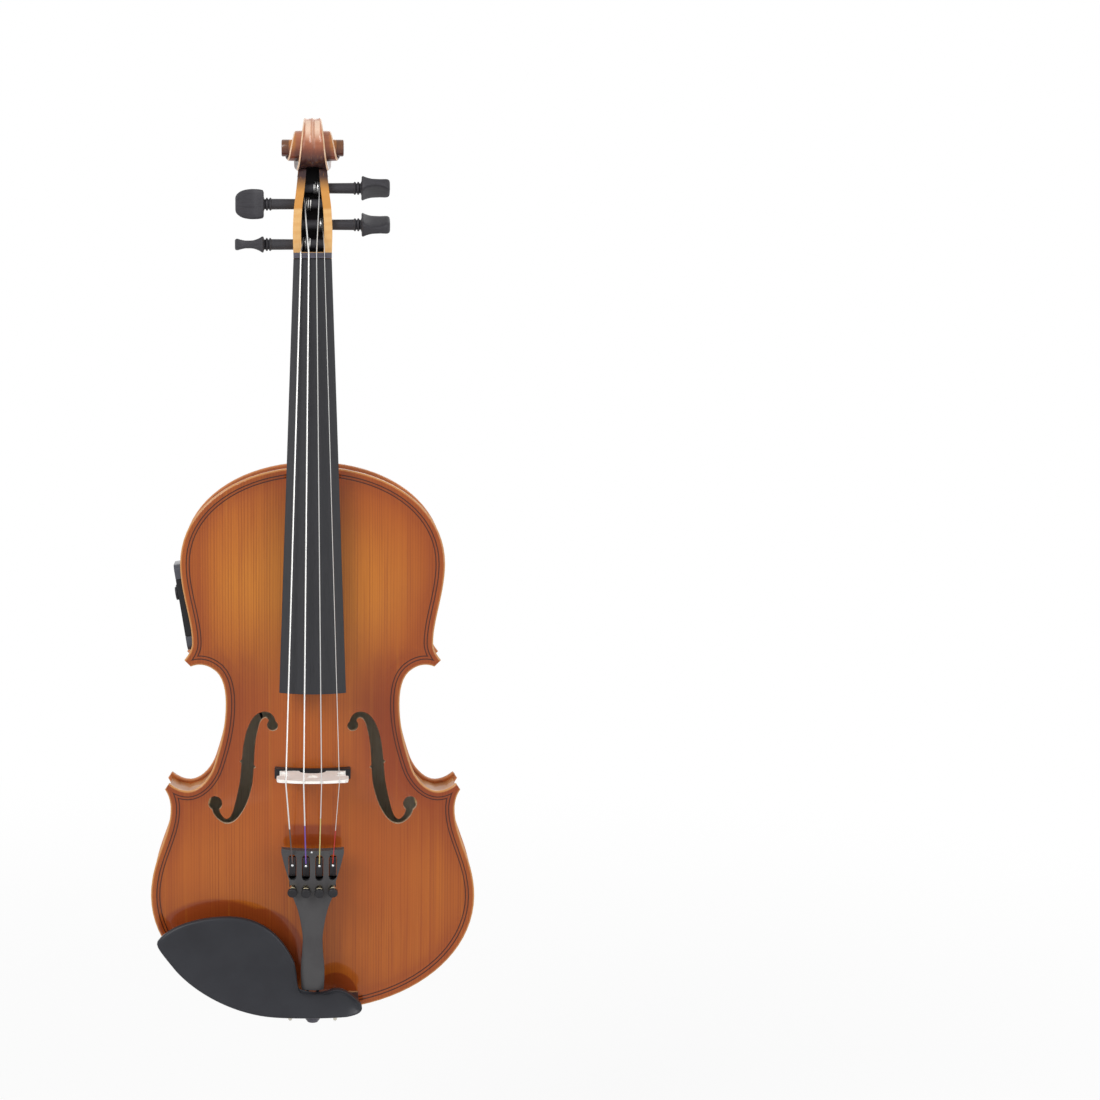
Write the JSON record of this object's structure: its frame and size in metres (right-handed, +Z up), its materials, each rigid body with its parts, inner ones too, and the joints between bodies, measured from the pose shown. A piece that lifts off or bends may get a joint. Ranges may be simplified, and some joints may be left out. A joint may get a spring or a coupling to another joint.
{
  "type": "electric violin",
  "caption": "Full-size violin with arched plates, f-holes and scroll, plus a bridge pickup and a side preamp with knobs, a battery drawer and a jack.",
  "frame": {"origin": "where a hanger holds the scroll from below, midway between its two eyes", "axes": "+Z up along the neck towards the scroll, +X towards the treble side, and the belly faces -Y"},
  "size_m": [0.2098, 0.0956, 0.589],
  "materials": {
    "spruce_varnish": "gloss",
    "maple_varnish": "gloss",
    "neck_maple": "satin",
    "bare_wood": "matte",
    "bridge_maple": "matte",
    "ebony": "satin",
    "black_plastic": "matte",
    "gloss_black": "gloss",
    "silver_plastic": "satin",
    "string_steel": "satin",
    "brass": "satin",
    "nickel": "gloss",
    "cork": "matte",
    "black_cord": "satin",
    "circuit_board": "satin"
  },
  "bodies": {
    "instrument": {"belly": "spruce_varnish", "back_plate": "maple_varnish", "rib_lower": "maple_varnish", "rib_upper_left": "maple_varnish", "rib_upper_right": "maple_varnish", "rib_waist_left": "maple_varnish", "rib_waist_right": "maple_varnish", "corner_block_lower_left": "bare_wood", "corner_block_lower_right": "bare_wood", "corner_block_upper_left": "bare_wood", "corner_block_upper_right": "bare_wood", "top_block": "bare_wood", "bottom_block": "bare_wood", "belly_lining": "bare_wood", "back_lining": "bare_wood", "bass_bar": "bare_wood", "sound_post": "bare_wood", "neck_and_scroll": "neck_maple", "bridge": "bridge_maple", "fingerboard": "ebony", "nut": "ebony", "saddle": "ebony", "end_button": "ebony", "tailpiece": "black_plastic", "pickup_bar": "black_plastic", "preamp_housing": "black_plastic", "chinrest_plate": "gloss_black", "preamp_cap_upper": "silver_plastic", "preamp_cap_lower": "silver_plastic", "string_g": "string_steel", "string_d": "string_steel", "string_a": "string_steel", "string_e": "string_steel", "clamp_bracket": "nickel", "output_jack": "nickel", "belly_cork_left": "cork", "belly_cork_right": "cork", "tailgut": "black_cord", "pickup_lead": "black_cord", "preamp_board": "circuit_board"},
    "peg_g": {"peg_g": "ebony"},
    "peg_d": {"peg_d": "ebony"},
    "peg_a": {"peg_a": "ebony"},
    "peg_e": {"peg_e": "ebony"},
    "tuner_screw_g": {"tuner_screw_g": "brass"},
    "tuner_lever_g": {"tuner_lever_g": "nickel"},
    "tuner_screw_d": {"tuner_screw_d": "brass"},
    "tuner_lever_d": {"tuner_lever_d": "nickel"},
    "tuner_screw_a": {"tuner_screw_a": "brass"},
    "tuner_lever_a": {"tuner_lever_a": "nickel"},
    "tuner_screw_e": {"tuner_screw_e": "brass"},
    "tuner_lever_e": {"tuner_lever_e": "nickel"},
    "volume_knob": {"volume_knob": "black_plastic"},
    "tone_knob": {"tone_knob": "black_plastic"},
    "battery_drawer": {"battery_drawer": "black_plastic", "coin_cell": "nickel"},
    "clamp_barrel_left": {"clamp_barrel_left": "nickel"},
    "clamp_barrel_right": {"clamp_barrel_right": "nickel"},
    "clamp_hook": {"clamp_hook": "nickel", "back_cork": "cork"}
  },
  "joints": [
    {"name": "peg_g_turn", "type": "hinge", "parent": "instrument", "child": "peg_g", "pos_m": [0, -0.01083, -0.05558], "axis": [1, 0, 0], "continuous": true},
    {"name": "peg_d_turn", "type": "hinge", "parent": "instrument", "child": "peg_d", "pos_m": [0, -0.00182, -0.03018], "axis": [1, 0, 0], "continuous": true},
    {"name": "peg_a_turn", "type": "hinge", "parent": "instrument", "child": "peg_a", "pos_m": [0, 0.00077, -0.02018], "axis": [1, 0, 0], "continuous": true},
    {"name": "peg_e_turn", "type": "hinge", "parent": "instrument", "child": "peg_e", "pos_m": [0, -0.00538, -0.04318], "axis": [1, 0, 0], "continuous": true},
    {"name": "tuner_g_screw_turn", "type": "hinge", "parent": "instrument", "child": "tuner_screw_g", "pos_m": [-0.0128, -0.05281, -0.46188], "axis": [0, -0.9397, -0.342], "range_deg": [-250, 250]},
    {"name": "tuner_g_lever_tilt", "type": "hinge", "parent": "instrument", "child": "tuner_lever_g", "pos_m": [-0.0128, -0.04814, -0.45398], "axis": [1, 0, 0], "range_deg": [-2, 2]},
    {"name": "tuner_d_screw_turn", "type": "hinge", "parent": "instrument", "child": "tuner_screw_d", "pos_m": [-0.00427, -0.0542, -0.46188], "axis": [0, -0.9397, -0.342], "range_deg": [-250, 250]},
    {"name": "tuner_d_lever_tilt", "type": "hinge", "parent": "instrument", "child": "tuner_lever_d", "pos_m": [-0.00427, -0.04952, -0.45398], "axis": [1, 0, 0], "range_deg": [-2, 2]},
    {"name": "tuner_a_screw_turn", "type": "hinge", "parent": "instrument", "child": "tuner_screw_a", "pos_m": [0.00427, -0.0542, -0.46188], "axis": [0, -0.9397, -0.342], "range_deg": [-250, 250]},
    {"name": "tuner_a_lever_tilt", "type": "hinge", "parent": "instrument", "child": "tuner_lever_a", "pos_m": [0.00427, -0.04952, -0.45398], "axis": [1, 0, 0], "range_deg": [-2, 2]},
    {"name": "tuner_e_screw_turn", "type": "hinge", "parent": "instrument", "child": "tuner_screw_e", "pos_m": [0.0128, -0.05281, -0.46188], "axis": [0, -0.9397, -0.342], "range_deg": [-250, 250]},
    {"name": "tuner_e_lever_tilt", "type": "hinge", "parent": "instrument", "child": "tuner_lever_e", "pos_m": [0.0128, -0.04814, -0.45398], "axis": [1, 0, 0], "range_deg": [-2, 2]},
    {"name": "volume_turn", "type": "hinge", "parent": "instrument", "child": "volume_knob", "pos_m": [-0.08603, -0.01329, -0.27779], "axis": [-0.9871, 0, -0.1599], "range_deg": [-135, 135]},
    {"name": "tone_turn", "type": "hinge", "parent": "instrument", "child": "tone_knob", "pos_m": [-0.08603, -0.00189, -0.27779], "axis": [-0.9871, 0, -0.1599], "range_deg": [-135, 135]},
    {"name": "battery_drawer_slide", "type": "slide", "parent": "instrument", "child": "battery_drawer", "axis": [-0.9871, 0, -0.1599], "range_m": [0, 0.022]},
    {"name": "clamp_barrel_left_turn", "type": "hinge", "parent": "instrument", "child": "clamp_barrel_left", "pos_m": [-0.0145, -0.00759, -0.5529], "axis": [0, 1, 0], "range_deg": [0, 1085]},
    {"name": "clamp_barrel_right_turn", "type": "hinge", "parent": "instrument", "child": "clamp_barrel_right", "pos_m": [0.0145, -0.00759, -0.5529], "axis": [0, 1, 0], "range_deg": [0, 1085]},
    {"name": "clamp_hook_slide", "type": "slide", "parent": "instrument", "child": "clamp_hook", "axis": [0, 1, 0], "range_m": [0, 0.003]}
  ],
  "couplings": [
    {"joint": "tuner_g_screw_turn", "follows": "tuner_g_lever_tilt", "ratio": -124},
    {"joint": "tuner_d_screw_turn", "follows": "tuner_d_lever_tilt", "ratio": -124},
    {"joint": "tuner_a_screw_turn", "follows": "tuner_a_lever_tilt", "ratio": -124},
    {"joint": "tuner_e_screw_turn", "follows": "tuner_e_lever_tilt", "ratio": -124},
    {"joint": "clamp_barrel_left_turn", "follows": "clamp_hook_slide", "rad_per_m": 6283.2},
    {"joint": "clamp_barrel_right_turn", "follows": "clamp_hook_slide", "rad_per_m": 6283.2}
  ]
}
